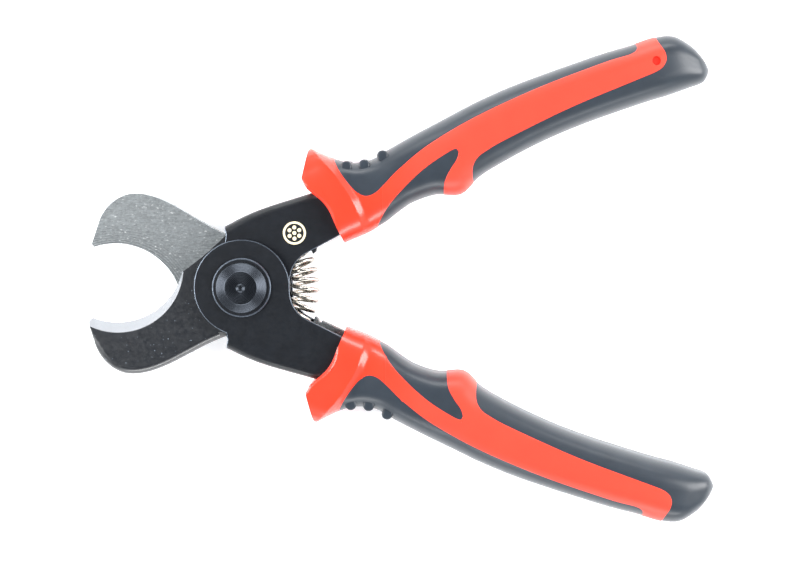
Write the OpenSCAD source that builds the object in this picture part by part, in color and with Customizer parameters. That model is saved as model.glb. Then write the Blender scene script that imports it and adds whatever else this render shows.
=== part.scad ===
// Hand cable cutter: two folded steel channels on one rivet, each with a blade and a moulded grip.
// +X runs from the pivot to the handles, +Y across them, +Z out of the front face.
// The tool lies on z = 0, on the rivet collar's flat back, and the pivot axis is x = y = 0.
// Every arm part is drawn once, for the upper arm, about a mid-plane at z = 0. The lower arm is the
// same part turned over by 180 degrees about X.

/* [Head] */
// Thickness of each blade
blade_t = 3.7; // [3.6:0.05:3.9]
// Thickness of the folded channel sheet
sheet_t = 1.35; // [1.1:0.05:1.4]
// Radius of the round pivot end of each channel
disc_r = 12; // [11.8:0.1:12.2]
// Radius of the round cutting edge of each blade
edge_r = 17; // [16.5:0.1:17.3]
// Width of the ground bevel, seen from the front
bevel_w = 2.4; // [1:0.1:3]
// Angle by which both jaws lean from the line midway between the arms
jaw_lean = 2.4; // [0:0.1:2.6]
// Clearance between faces that slide on each other
run_gap = 0.1; // [0.05:0.01:0.15]

/* [Pivot] */
// Radius of the rivet's shank
shank_r = 4; // [3:0.1:4.5]
// Radial clearance round the shank and the tang pins
bore_gap = 0.04; // [0.02:0.01:0.08]
// Radius of the rings under the rivet's head and collar
washer_r = 7.4; // [7:0.1:8]
// Radius of the rivet's head and of its collar
head_r = 6.4; // [5.5:0.1:6.8]

/* [Spring] */
// Wire diameter
wire_d = 1; // [0.7:0.05:1.1]
// Outer diameter of the coil
spring_od = 7.2; // [6.8:0.1:7.4]
// Number of turns
spring_turns = 9; // [7:1:10]
// Distance of the coil's middle from the pivot axis, which the open spring curves round
spring_r = 15.6; // [15.5:0.1:15.8]
// Angle of each spring seat from the line midway between the arms, with the tool open
seat_angle = 39; // [38:0.5:41]

/* [Grips] */
// Half thickness of the grip where the tool rests on it, which is also the mid-plane's height
mid_z = 9.4; // [9.2:0.1:10]
// Depth of the soft pads
pad_depth = 1.5; // [1.1:0.1:1.7]
// Radius of the three anti-slip ribs
rib_r = 1.4; // [1:0.1:1.6]

/* [Hidden] */

ROUND = 64;

// Colours
steel_black = "#262c34";
steel_bright = "#a5acaf";
grip_red = "#e8503c";
grip_dark = "#4b555f";

// Heights over the mid-plane of the upper channel's plates
front_plate_z = blade_t;
back_plate_z = -(blade_t + 2 * sheet_t + run_gap);
channel_top = front_plate_z + sheet_t;
outer_plate_z = -back_plate_z;

// Heights of the rivet's steps over the mid-plane
washer_t = 0.75;
head_z = outer_plate_z + washer_t;
head_step_z = head_z + 0.6;
head_top_r = 4.1;
dimple_r = 1.2;
dimple_depth = 0.6;
collar_flat_r = 5.8;

// Tang pins, through each channel and its blade's tail
pin_r = 1.5;
pin_places = [[29, 21.2], [35.4, 24.8]];

// Spring seat, and the gap behind it
seat_disc_t = 1.3;
seat_gap = 0.05;
nose_r = 2.3;
nose_len = 2.8;
nose_chamfer = 0.6;
seat_foot = [5.6, 5];
coil_r = (spring_od - wire_d) / 2;

// A point on a circle
function on_circle(c, r, a) = c + r * [cos(a), sin(a)];

// A point in the plane, turned about the pivot
function turned(p, a) = [p[0] * cos(a) - p[1] * sin(a), p[0] * sin(a) + p[1] * cos(a)];

// n + 1 points along an arc
function arc_points(c, r, a0, a1, n) = [for (i = [0:n]) on_circle(c, r, a0 + (a1 - a0) * i / n)];

// Smooth curve through all points of p, with n steps between each two
function blend_point(a, b, c, d, t) =
    0.5 * (2 * b + (c - a) * t + (2 * a - 5 * b + 4 * c - d) * t * t
    + (3 * b - a - 3 * c + d) * t * t * t);
function smooth_points(p, n) =
    let (last = len(p) - 1)
    let (q = concat([2 * p[0] - p[1]], p, [2 * p[last] - p[last - 1]]))
    concat(
        [for (i = [1:last], k = [0:n - 1]) blend_point(q[i - 1], q[i], q[i + 1], q[i + 2], k / n)],
        [p[last]]
    );

// An open line of points moved sideways by d, to its right-hand side
function unit(v) = v / norm(v);
function side_of(v) = [v[1], -v[0]];
function moved_aside(p, d) =
    let (last = len(p) - 1)
    [for (i = [0:last]) p[i] + d * unit(side_of(p[min(i + 1, last)] - p[max(i - 1, 0)]))];

function reversed(p) = [for (i = [len(p) - 1:-1:0]) p[i]];

// A closed skin over a row of rings, all with the same number of points
module loft(rings) {
    count = len(rings[0]);
    last = (len(rings) - 1) * count;
    sides = [for (k = [0:len(rings) - 2], s = [0:count - 1])
        let (t = (s + 1) % count, a = k * count, b = a + count)
        each [[a + s, a + t, b + t], [a + s, b + t, b + s]]];
    first_cap = [for (s = [count - 1:-1:0]) s];
    last_cap = [for (s = [0:count - 1]) last + s];
    polyhedron([for (r = rings) each r], concat(sides, [first_cap, last_cap]));
}

// ---------- Channel outline ----------

// Outer face of the channel's fold, from its front end to the end of the tang
fold_line = smooth_points([
    [-4.3, 15.2], [1.5, 18.1], [7.2, 20.2], [16, 22.8], [28, 26.4],
    [45, 33.4], [62, 40.8], [80, 47.2], [92, 51]
], 5);
fold_inner = moved_aside(fold_line, sheet_t);

// Hollow between the pivot disc and the straight inner edge
hollow_c = [20, 1.2];
hollow_r = 8;
inner_edge_angle = 27;
hollow_arc = arc_points(hollow_c, hollow_r, 183.4, 90 + inner_edge_angle, 10);
tang_inner = [[24.6, 12.6], [33, 18.6], [45, 26], [58, 32.8], [70, 38.3], [82, 43.2], [92, 46.6]];
plate_front = [[-3.9, 13.2], [-3.7, 11.3], [0, 0]];

plate_outline = concat(fold_line, reversed(tang_inner), reversed(hollow_arc), reversed(plate_front));
fold_outline = concat(fold_line, reversed(fold_inner));

module plate(z) {
    translate([0, 0, z]) {
        linear_extrude(sheet_t) polygon(plate_outline);
        cylinder(h = sheet_t, r = disc_r, $fn = ROUND);
    }
}

module shank_bore() {
    translate([0, 0, -mid_z]) cylinder(h = 2 * mid_z, r = shank_r + bore_gap, $fn = ROUND);
}

module pin_bores() {
    for (p = pin_places) {
        translate([p[0], p[1], -mid_z]) cylinder(h = 2 * mid_z, r = pin_r + bore_gap, $fn = 32);
    }
}

module channel() {
    difference() {
        union() {
            plate(front_plate_z);
            plate(back_plate_z);
            translate([0, 0, back_plate_z]) linear_extrude(channel_top - back_plate_z) polygon(fold_outline);
        }
        shank_bore();
        pin_bores();
    }
}

// ---------- Blade ----------

// The upper arm's blade has its jaw at the lower left and its tail in the upper channel. The jaw is
// drawn square to the line midway between the arms, then leans by an angle about the pivot.
edge_c = [-32.3, 7];
edge_start = 250.8;
edge_end = 348;
grind_stock = 0.8;
boss_r = 11.5;
tail_clear = 0.05;
tail_from = 4;
tail_to = 22;

jaw_inner = concat(
    [[-38.9, -9.7]],
    arc_points(edge_c, edge_r - grind_stock, edge_start, edge_end, 12)
);
neck = smooth_points([[-15.2, 3.7], [-11.5, 6.5], [-8.8, 8.7], [-5.3, 12], [-3.9, 13.3]], 3);
jaw_outer = smooth_points([
    [-5.2, -13.1], [-9, -14.9], [-13.5, -17.4], [-18.2, -20], [-22.8, -21.95], [-27.3, -22.8],
    [-31, -22.2], [-34.3, -20], [-36.5, -17], [-37.7, -13.6], [-38.9, -9.7]
], 3);
tail_outer = moved_aside([for (i = [tail_from:tail_to]) fold_line[i]], sheet_t + tail_clear);
// The bright blade's tail shows as a band beside its channel, in front of the grip
tail_back = [[37.6, 28.4], [38.6, 24.2], [27, 17.2]];
band_edge = [[24.4, 13.4], [24.4, 11.6], [19.6, 9.15], [19.3, 10]];
plain_edge = [[22.6, 13.4]];
// A horn on the tail keeps the spring from slipping outwards; the seat rests on the edge beside it
horn = [for (p = [[21.6, 27.8], [20.4, 24.8], [19.6, 24.2], [19.8, 31]]) on_circle([0, 0], p[0], p[1])];
seat_edge = [for (x = [4.2, -4]) turned([spring_r + x, seat_disc_t + seat_gap], seat_angle)];
// The neck turns with half the jaw's lean
neck_share = 0.5;
pivot_side = [[11.4, 0], [8.1, -8.1], [0.5, -11.4], [-3.4, -12.3]];
function all_turned(p, a) = [for (q = p) turned(q, a)];
function blade_outline(lean, tail_edge) = concat(
    all_turned(jaw_inner, lean), all_turned(neck, lean * neck_share), tail_outer, tail_back, tail_edge,
    horn, seat_edge, pivot_side, all_turned(jaw_outer, lean)
);

// The grinding cone: the cutting edge is the circle where it meets the mating face
module bevel_cut(lean) {
    slope = bevel_w / (blade_t - run_gap / 2);
    below = 1;
    rotate([0, 0, lean]) translate([edge_c[0], edge_c[1], run_gap / 2 - below])
        cylinder(
            h = blade_t + 2 * below,
            r1 = edge_r - slope * below,
            r2 = edge_r + slope * (blade_t + below),
            $fn = 2 * ROUND
        );
}

module blade(lean, tail_edge) {
    difference() {
        union() {
            translate([0, 0, run_gap / 2])
                linear_extrude(blade_t - run_gap / 2) polygon(blade_outline(lean, tail_edge));
            translate([0, 0, run_gap / 2]) cylinder(h = blade_t - run_gap / 2, r = boss_r, $fn = ROUND);
        }
        bevel_cut(lean);
        shank_bore();
        pin_bores();
    }
}

// ---------- Pivot ----------

module rivet() {
    difference() {
        union() {
            translate([0, 0, -mid_z]) cylinder(h = mid_z + head_z, r = shank_r, $fn = ROUND);
            translate([0, 0, head_z]) cylinder(h = head_step_z - head_z, r = head_r, $fn = ROUND);
            translate([0, 0, head_step_z])
                cylinder(h = mid_z - head_step_z, r1 = head_r - 0.3, r2 = head_top_r, $fn = ROUND);
        }
        translate([0, 0, mid_z - dimple_depth]) cylinder(h = 2, r1 = 0.6, r2 = dimple_r + 1.4, $fn = 32);
    }
}

module washer(z) {
    translate([0, 0, z]) difference() {
        cylinder(h = washer_t, r = washer_r, $fn = ROUND);
        translate([0, 0, -1]) cylinder(h = washer_t + 2, r = shank_r + bore_gap, $fn = ROUND);
    }
}

module collar() {
    difference() {
        union() {
            translate([0, 0, -mid_z])
                cylinder(h = mid_z - head_step_z, r1 = collar_flat_r, r2 = head_r, $fn = ROUND);
            translate([0, 0, -head_step_z]) cylinder(h = head_step_z - head_z, r = head_r, $fn = ROUND);
        }
        shank_bore();
    }
}

// ---------- Spring and its seats ----------

// Ring k of the wire, as sides points round the coil's centre line
wire_sides = 6;
turn_steps = 12;
coil_steps = spring_turns * turn_steps;
coil_half = seat_angle - (wire_d / 2 + seat_gap) / spring_r * 180 / PI;

function coil_ring(k) =
    let (turn = 360 * k / turn_steps, along = coil_half * (2 * k / coil_steps - 1))
    let (radial = [cos(along), sin(along), 0], tangent = [-sin(along), cos(along), 0])
    let (outward = cos(turn) * radial + [0, 0, sin(turn)])
    [for (i = [0:wire_sides - 1])
        let (b = 360 * i / wire_sides)
        spring_r * radial + coil_r * outward + wire_d / 2 * (cos(b) * outward + sin(b) * tangent)];

module coil() {
    loft([for (k = [0:coil_steps]) coil_ring(k)]);
}

module spring_seat() {
    nose_top = seat_disc_t + nose_len;
    rotate([0, 0, seat_angle]) translate([spring_r, seat_disc_t, 0]) rotate([90, 0, 0]) {
        cylinder(h = seat_disc_t, r = spring_od / 2, $fn = ROUND);
        cylinder(h = nose_top - nose_chamfer, r = nose_r, $fn = ROUND);
        translate([0, 0, nose_top - nose_chamfer])
            cylinder(h = nose_chamfer, r1 = nose_r, r2 = nose_r - nose_chamfer, $fn = ROUND);
    }
    rotate([0, 0, seat_angle])
        translate([spring_r - seat_foot[0] / 2, seat_disc_t, back_plate_z + sheet_t])
            cube([seat_foot[0], seat_foot[1], -back_plate_z - sheet_t]);
}

module tang_pins() {
    for (p = pin_places) {
        translate([p[0], p[1], back_plate_z]) cylinder(h = channel_top - back_plate_z, r = pin_r, $fn = 32);
    }
}

// ---------- Grip ----------

// Stations from the mouth to the end: a point on the outer edge, one on the inner edge and the
// half thickness there
stations = [
    [[15.4, 25.2], [25.6, 10.9], 8.6],
    [[17.3, 34.3], [27.2, 11.4], 9.4],
    [[18.3, 34.4], [30.7, 12.6], 9.4],
    [[20.6, 33.2], [32.2, 13.3], 8.9],
    [[23.4, 31.9], [34.0, 14.3], 8.7],
    [[27.8, 30.8], [36.8, 16.0], 8.7],
    [[33.0, 31.5], [39.9, 18.4], 8.9],
    [[37.6, 34.2], [43.5, 20.6], 9.0],
    [[43.7, 37.5], [49.0, 22.3], 9.1],
    [[50.0, 40.7], [55.2, 22.3], 9.3],
    [[54.5, 43.0], [59.3, 26.0], 9.4],
    [[59.3, 45.4], [63.2, 28.6], 9.4],
    [[67.2, 48.8], [71.0, 32.8], 9.4],
    [[75.2, 51.7], [79.0, 36.5], 9.4],
    [[83.2, 54.4], [87.0, 39.6], 9.4],
    [[91.2, 57.0], [95.0, 42.3], 9.3],
    [[98.5, 59.0], [102.5, 44.7], 9.1],
    [[104.0, 60.7], [107.5, 46.1], 8.8],
    [[108.7, 61.0], [112.6, 47.8], 8.0],
    [[113.0, 58.6], [116.0, 49.0], 6.4],
    [[116.0, 55.4], [117.6, 51.4], 3.6]
];
section_steps = 20;
section_power = 0.56;

function power_of(v) = sign(v) * pow(abs(v), section_power);

// Rounded oblong section of the grip at station s, drawn in by inset
function section(s, inset) =
    let (across = s[0] - s[1], middle = (s[0] + s[1]) / 2)
    let (half_w = norm(across) / 2 - inset, half_h = s[2] - inset)
    [for (i = [0:section_steps - 1])
        let (a = 360 * i / section_steps, w = half_w * power_of(cos(a)))
        concat(middle + w * unit(across), [half_h * power_of(sin(a))])];

// The pads' inner skin leaves out the last station, at the cap's tip
module grip_form(inset = 0) {
    last = len(stations) - (inset > 0 ? 3 : 2);
    for (i = [0:last]) {
        hull() loft([section(stations[i], inset), section(stations[i + 1], inset)]);
    }
}

module through(outline) {
    translate([0, 0, -2 * mid_z]) linear_extrude(4 * mid_z) polygon(outline);
}

// Outlines of the soft areas, seen from the front. Each runs past the grip's edge on its outer side.
thumb_edge = smooth_points([
    [22.6, 35], [23.6, 31.8], [24.7, 29.4], [26.3, 26.9], [28.1, 24.6], [29.9, 23], [31.8, 22.4],
    [34, 23.2], [36.5, 25.5], [40, 29], [47.5, 34.9], [59.3, 41.6], [75.2, 48.6], [91.2, 54.4],
    [99, 57], [98.6, 61]
], 4);
thumb_zone = concat(thumb_edge, [[96, 70], [20, 50]]);

finger_edge = smooth_points([
    [33.2, 11], [34.6, 15.5], [38.3, 21.2], [45.6, 28.4], [53, 33.3], [54.7, 33.2],
    [54.4, 31.2], [52.6, 28.4], [51.2, 25.2], [50.9, 20]
], 4);
finger_zone = concat(finger_edge, [[45, 12]]);

heel_edge = smooth_points([
    [103, 66], [104.4, 60], [106.3, 56.6], [106.4, 54.2], [104.6, 52.2], [99.1, 49.9],
    [83.2, 43.6], [67.2, 36.1], [61.6, 33], [59.2, 31], [58.2, 28], [58.9, 22]
], 4);
heel_zone = concat(heel_edge, [[90, 25], [130, 40], [130, 66]]);

// Anti-slip ribs across the outer side: where each one's axis meets the drawing, and half its length
rib_places = [[26.8, 29.8], [31.3, 30.1], [35.9, 32.3]];
rib_half = 5.2;

hole_place = [104.1, 54.6];
hole_r = 1.1;
hole_station = 16;
hole_depth = 1.2;

// Room for the channel in the grip
pocket_gap = 0.1;
pocket_outline = concat(
    moved_aside(fold_line, -pocket_gap),
    [[92.4, 51.2], [92.4, 46.6]],
    reversed(moved_aside(tang_inner, pocket_gap)),
    [[15, 8]]
);

module pocket() {
    translate([0, 0, back_plate_z - pocket_gap])
        linear_extrude(channel_top - back_plate_z + 2 * pocket_gap) polygon(pocket_outline);
}

module pad(zone) {
    difference() {
        intersection() {
            grip_form();
            through(zone);
        }
        grip_form(pad_depth);
    }
}

module grip_shell() {
    difference() {
        grip_form();
        pocket();
        difference() {
            union() {
                through(thumb_zone);
                through(finger_zone);
                through(heel_zone);
            }
            grip_form(pad_depth);
        }
        translate([hole_place[0], hole_place[1], stations[hole_station][2] - hole_depth])
            cylinder(h = 2, r = hole_r, $fn = 24);
    }
}

module rib() {
    translate([0, 0, -rib_half]) cylinder(h = 2 * rib_half, r = rib_r, $fn = 24);
    for (side = [-1, 1]) {
        translate([0, 0, side * rib_half]) sphere(r = rib_r, $fn = 24);
    }
}

module thumb_pad() {
    difference() {
        union() {
            intersection() {
                grip_form();
                through(thumb_zone);
            }
            for (p = rib_places) {
                translate(p) rib();
            }
        }
        grip_form(pad_depth);
    }
}

// ---------- The two arms ----------

module upper_arm() {
    translate([0, 0, mid_z]) children();
}

module lower_arm() {
    translate([0, 0, mid_z]) rotate([180, 0, 0]) children();
}

// ---------- Nodes ----------

module lower_channel() { color(steel_black) lower_arm() channel(); }
module upper_channel() { color(steel_black) upper_arm() channel(); }
module silver_blade() { color(steel_bright) lower_arm() blade(jaw_lean, band_edge); }
module black_blade() { color(steel_black) upper_arm() blade(-jaw_lean, plain_edge); }

module pivot_rivet() { color(steel_black) upper_arm() rivet(); }
module front_washer() { color(steel_black) upper_arm() washer(outer_plate_z); }
module back_washer() { color(steel_black) upper_arm() washer(-outer_plate_z - washer_t); }
module rivet_collar() { color(steel_black) upper_arm() collar(); }

module spring() { color(steel_bright) upper_arm() coil(); }
module lower_spring_seat() { color(steel_black) lower_arm() spring_seat(); }
module upper_spring_seat() { color(steel_black) upper_arm() spring_seat(); }

module lower_tang_pins() { color(steel_bright) lower_arm() tang_pins(); }
module upper_tang_pins() { color(steel_bright) upper_arm() tang_pins(); }

module lower_grip_shell() { color(grip_red) lower_arm() grip_shell(); }
module upper_grip_shell() { color(grip_red) upper_arm() grip_shell(); }
module lower_thumb_pad() { color(grip_dark) lower_arm() thumb_pad(); }
module upper_thumb_pad() { color(grip_dark) upper_arm() thumb_pad(); }
module lower_finger_pad() { color(grip_dark) lower_arm() pad(finger_zone); }
module upper_finger_pad() { color(grip_dark) upper_arm() pad(finger_zone); }
module lower_heel_pad() { color(grip_dark) lower_arm() pad(heel_zone); }
module upper_heel_pad() { color(grip_dark) upper_arm() pad(heel_zone); }

lower_channel();
upper_channel();
silver_blade();
black_blade();
pivot_rivet();
front_washer();
back_washer();
rivet_collar();
spring();
lower_spring_seat();
upper_spring_seat();
lower_tang_pins();
upper_tang_pins();
lower_grip_shell();
upper_grip_shell();
lower_thumb_pad();
upper_thumb_pad();
lower_finger_pad();
upper_finger_pad();
lower_heel_pad();
upper_heel_pad();
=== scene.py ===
"""Looks of the hand cable cutter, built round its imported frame.

Every arm part is modelled for the upper arm, about a mid-plane at z = 0. The lower arm's part is
turned over by 180 degrees about X, and both are then lifted to the real mid-plane.
"""

import math

import bmesh
import bpy
from mathutils import Matrix, Vector


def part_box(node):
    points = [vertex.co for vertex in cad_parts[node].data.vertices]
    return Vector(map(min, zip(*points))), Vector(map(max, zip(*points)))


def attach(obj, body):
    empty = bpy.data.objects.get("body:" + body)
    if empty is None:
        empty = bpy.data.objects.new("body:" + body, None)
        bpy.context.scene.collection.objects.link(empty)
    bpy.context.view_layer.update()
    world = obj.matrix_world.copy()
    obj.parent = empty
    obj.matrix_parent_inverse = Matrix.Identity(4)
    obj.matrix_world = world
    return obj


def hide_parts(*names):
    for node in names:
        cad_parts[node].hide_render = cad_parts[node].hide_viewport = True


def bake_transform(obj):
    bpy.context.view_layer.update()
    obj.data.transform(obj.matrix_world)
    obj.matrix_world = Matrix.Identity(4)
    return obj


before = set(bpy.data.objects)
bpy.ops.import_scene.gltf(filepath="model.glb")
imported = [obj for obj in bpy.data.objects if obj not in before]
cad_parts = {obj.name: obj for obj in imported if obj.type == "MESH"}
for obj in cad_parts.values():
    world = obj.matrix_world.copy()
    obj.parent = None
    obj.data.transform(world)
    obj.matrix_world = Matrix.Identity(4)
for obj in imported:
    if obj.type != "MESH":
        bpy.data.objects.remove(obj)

bl_info = {
    "name": "Cable Cutter",
    "version": (1, 0, 0),
    "blender": (4, 5, 0),
    "location": "3D View > Sidebar > Cutter",
    "description": "Models a cable cutter with folded channels, ground blades and moulded grips",
    "category": "Object",
}

MM = 0.001
LOWER, UPPER = "lower_arm", "upper_arm"
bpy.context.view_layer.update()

# Half the thickness of the whole tool, in millimetres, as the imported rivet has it
MID_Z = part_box("pivot_rivet")[1].z / 2 / MM

# Sizes of the head that its solids share, in millimetres and degrees
BLADE_T = 3.7
SHEET_T = 1.35
RUN_GAP = 0.1
FRONT_PLATE = (BLADE_T, BLADE_T + SHEET_T)
BACK_PLATE = (-BLADE_T - 2 * SHEET_T - RUN_GAP, -BLADE_T - SHEET_T - RUN_GAP)
DISC_R = 12.0
EDGE_R = 17.0
EDGE_C = (-32.3, 7.0)
SHANK_R = 4.0
SPRING_R = 15.6
SEAT_ANGLE = 39.0
JAW_LEAN = 2.4

# Cutting tools reach this far to both sides of the mid-plane
REACH = 14


# ---------- Settings ----------


def length(label, text, value, low, high):
    """A length property, given in millimetres."""
    return bpy.props.FloatProperty(
        name=label, description=text, default=value * MM, min=low * MM, max=high * MM, unit="LENGTH"
    )


def lean_angle(label, text, degrees):
    """A small angle property, given in degrees."""
    return bpy.props.FloatProperty(
        name=label, description=text, default=math.radians(degrees), min=-0.5, max=0.5,
        subtype="ANGLE",
    )


def power(label, text, watts):
    return bpy.props.FloatProperty(name=label, description=text, default=watts, min=0, max=100)


def linear(hex_value):
    """sRGB hex as the linear colour that shaders read."""
    parts = [int(hex_value[i : i + 2], 16) / 255 for i in (0, 2, 4)]
    parts = [c / 12.92 if c <= 0.04045 else ((c + 0.055) / 1.055) ** 2.4 for c in parts]
    return (*parts, 1.0)


def colour(label, text, value):
    """A colour property that holds a hex value as linear numbers."""
    return bpy.props.FloatVectorProperty(
        name=label, description=text, subtype="COLOR", size=4, min=0, max=1, default=linear(value)
    )


class HeadSettings(bpy.types.PropertyGroup):
    """Sizes of the metal head"""

    fold_round: length("Fold radius", "Outer radius of the channel's folds", 1.8, 0.5, 3)
    # The band round each plate gets the lighter worn steel: partly rubbed-off oxide, partly a
    # painted highlight along the edge
    stamped_edge: length("Stamped edge", "Width of the worn edge round each plate", 0.22, 0.05, 0.5)
    blade_edge: length("Blade edge", "Width of the flat along the bright blade", 0.25, 0.05, 0.6)
    jaw_round: length("Jaw rounding", "Rounding of the black blade's outer edge", 1.8, 0.2, 2.5)


class SpringSettings(bpy.types.PropertyGroup):
    """Sizes of the opening spring"""

    wire: length("Wire", "Diameter of the spring's wire", 1.0, 0.4, 1.2)
    outside: length("Outside", "Outer diameter of the coil", 7.2, 5, 8)
    turns: bpy.props.IntProperty(
        name="Turns", description="Number of turns of wire", default=9, min=6, max=14
    )


class GripSettings(bpy.types.PropertyGroup):
    """Sizes of the two-colour grips"""

    step: length("Pad step", "How far the soft pads lie under the hard sleeve", 0.1, 0, 0.4)
    pad_depth: length("Pad depth", "Depth of the soft pads", 1.3, 0.6, 2)
    seam_round: length("Seam rounding", "Rounding of the sleeve beside the pads", 0.12, 0.05, 0.4)
    lip_round: length("Lip rounding", "Rounding of the chamfer round the mouth", 0.22, 0.05, 0.4)
    rib_r: length("Rib radius", "Radius of the three anti-slip ribs", 1.4, 0.8, 2)


class FinishSettings(bpy.types.PropertyGroup):
    """Colours of the finishes"""

    red: colour("Red ABS", "Hard plastic of the sleeves", "E23A26")
    rubber: colour("Dark TPE", "Soft plastic of the pads", "272E36")
    oxide: colour("Black oxide", "Blackened steel of the channels and one blade", "0F1217")
    dust: colour("Dust", "Small specks on the black blade", "8E9AA8")
    rivet: colour("Turned steel", "Blackened steel of the rivet and its collar", "2E3238")
    steel: colour("Ground steel", "Bare steel of the bright blade", "A9AEB0")
    # Painted glints: near-white specks laid into the ground steel's colour in place of highlights
    painted_glint: colour("Glints", "Small bright marks on the ground steel", "F0F2F2")
    bevel: colour("Ground bevel", "Bare steel of the cutting bevels", "ABADB1")
    nickel: colour("Nickel", "Plating of the spring", "CFCAC0")
    # Lighter bare steel for rubbed-off oxide; on the plates' stamped edges it is also a painted
    # highlight
    worn: colour("Worn edge", "Steel where the black has rubbed off", "7E8794")
    print: colour("Print", "Ink of the mark on the upper channel", "EBDDB8")


class StageSettings(bpy.types.PropertyGroup):
    """Camera and light"""

    distance: length("Camera distance", "From the camera to the tool's middle", 600, 200, 2000)
    tilt: lean_angle("Camera tilt", "How far the camera leans from straight above", 2.8)
    side_lean: lean_angle("Camera side lean", "How far it leans towards the handles", 1.6)
    roll: lean_angle("Camera roll", "Turn of the camera about its own axis", 1.0)
    side_watts: power("Side lights", "Power of each side softbox", 16.0)
    strip_watts: power("Strip lights", "Power of each strip, beyond and before the tool", 6.0)


# ---------- Points of outlines, in millimetres ----------


def arc(centre, radius, start, end, steps):
    """steps + 1 points along an arc, angles in degrees."""
    angles = [math.radians(start + (end - start) * i / steps) for i in range(steps + 1)]
    return [(centre[0] + radius * math.cos(a), centre[1] + radius * math.sin(a)) for a in angles]


def flowing(points, steps):
    """A smooth line through all the points, with that many steps between each two.
    The points may have any number of coordinates."""
    rows = [Vector(p) for p in points]
    rows = [2 * rows[0] - rows[1]] + rows + [2 * rows[-1] - rows[-2]]
    line = []
    for a, b, c, d in zip(rows, rows[1:], rows[2:], rows[3:]):
        for k in range(steps):
            t = k / steps
            line.append(0.5 * (2 * b + (c - a) * t + (2 * a - 5 * b + 4 * c - d) * t**2
                               + (3 * b - a - 3 * c + d) * t**3))
    return [tuple(p) for p in line] + [tuple(rows[-2])]


def aside(points, distance):
    """An open line moved to its right-hand side."""
    moved = []
    for i, p in enumerate(points):
        a, b = points[max(i - 1, 0)], points[min(i + 1, len(points) - 1)]
        along = Vector((b[0] - a[0], b[1] - a[1])).normalized()
        moved.append((p[0] + distance * along.y, p[1] - distance * along.x))
    return moved


def turned(x, y, degrees):
    """A point turned about the pivot."""
    a = math.radians(degrees)
    return (x * math.cos(a) - y * math.sin(a), x * math.sin(a) + y * math.cos(a))


# ---------- Modelling helpers ----------


def only(obj):
    """Object mode, with this object alone selected and active."""
    if bpy.context.mode != "OBJECT":
        bpy.ops.object.mode_set(mode="OBJECT")
    bpy.ops.object.select_all(action="DESELECT")
    obj.select_set(True)
    bpy.context.view_layer.objects.active = obj
    return obj


def shape(obj, kind="VERT"):
    """Edit mode on this object, with everything selected."""
    only(obj)
    bpy.ops.object.mode_set(mode="EDIT")
    bpy.ops.mesh.select_mode(type=kind)
    bpy.ops.mesh.select_all(action="SELECT")


def done():
    """Leaves edit mode and returns the object."""
    bpy.ops.object.mode_set(mode="OBJECT")
    return bpy.context.object


def choose(obj, kind, test):
    """In edit mode, selects only the verts, edges or faces that pass the test."""
    bpy.ops.mesh.select_mode(type={"verts": "VERT", "edges": "EDGE", "faces": "FACE"}[kind])
    bpy.ops.mesh.select_all(action="DESELECT")
    mesh = bmesh.from_edit_mesh(obj.data)
    count = 0
    for item in getattr(mesh, kind):
        if test(item):
            item.select_set(True)
            count += 1
    bmesh.update_edit_mesh(obj.data)
    return count


def start(name, primitive, **settings):
    """A named primitive of its own, with its place in its mesh."""
    bpy.ops.object.select_all(action="DESELECT")
    primitive(**settings)
    obj = bpy.context.object
    obj.name = obj.data.name = name
    bpy.context.view_layer.update()
    bpy.ops.object.transform_apply(location=True, rotation=True, scale=True)
    return obj


def trace(name, points, z, fill=True):
    """A line drawn corner by corner at height z, and filled. Points are (x, y) or (x, y, z)."""
    corners = [Vector(p if len(p) == 3 else (*p, z)) * MM for p in points]
    obj = start(name, bpy.ops.mesh.primitive_plane_add, size=MM)
    shape(obj)
    bpy.ops.mesh.merge(type="CENTER")
    bpy.ops.transform.translate(value=corners[0])
    for a, b in zip(corners, corners[1:]):
        bpy.ops.mesh.extrude_region_move(TRANSFORM_OT_translate={"value": b - a})
    bpy.ops.mesh.select_all(action="SELECT")
    if fill:
        bpy.ops.mesh.edge_face_add()
    return obj


def block(name, points, low, high):
    """A flat outline raised from height low to height high."""
    obj = trace(name, points, low)
    bpy.ops.mesh.extrude_region_move(TRANSFORM_OT_translate={"value": (0, 0, (high - low) * MM)})
    bpy.ops.mesh.select_all(action="SELECT")
    bpy.ops.mesh.normals_make_consistent(inside=False)
    return done()


def turn(name, profile, steps=96, closed=False):
    """A turned part: the profile's (radius, height) corners spun round the pivot axis."""
    corners = [(r, 0.0, z) for r, z in profile]
    obj = trace(name, corners + corners[:1] if closed else corners, 0, fill=False)
    bpy.ops.mesh.spin(steps=steps, angle=math.tau, center=(0, 0, 0), axis=(0, 0, 1))
    bpy.ops.mesh.select_all(action="SELECT")
    bpy.ops.mesh.remove_doubles(threshold=0.002 * MM)
    bpy.ops.mesh.normals_make_consistent(inside=False)
    return done()


def is_level(edge):
    return abs(edge.verts[0].co.z - edge.verts[1].co.z) < MM / 10


def bore(radius):
    """A round cutting tool along the pivot axis."""
    return turn("bore", [(0, REACH), (radius, REACH), (radius, -REACH), (0, -REACH)])


def use(obj, modifier_type, **settings):
    """Adds a modifier and applies it."""
    only(obj)
    bpy.context.view_layer.update()
    modifier = obj.modifiers.new("step", modifier_type)
    for key, value in settings.items():
        setattr(modifier, key, value)
    bpy.ops.object.modifier_apply(modifier=modifier.name)
    return obj


def cut(obj, tool, operation="DIFFERENCE", keep=False):
    """Cuts, joins or intersects with a tool, which is then removed."""
    use(obj, "BOOLEAN", operation=operation, solver="EXACT", object=tool)
    if not keep:
        bpy.data.objects.remove(tool)
    if not obj.data.polygons:
        raise RuntimeError(f"{obj.name} lost its faces in a {operation.lower()}")
    return obj


def twin(obj, name):
    """A copy with its own mesh."""
    copy = obj.copy()
    copy.data = obj.data.copy()
    copy.name = copy.data.name = name
    bpy.context.scene.collection.objects.link(copy)
    return copy


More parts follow.
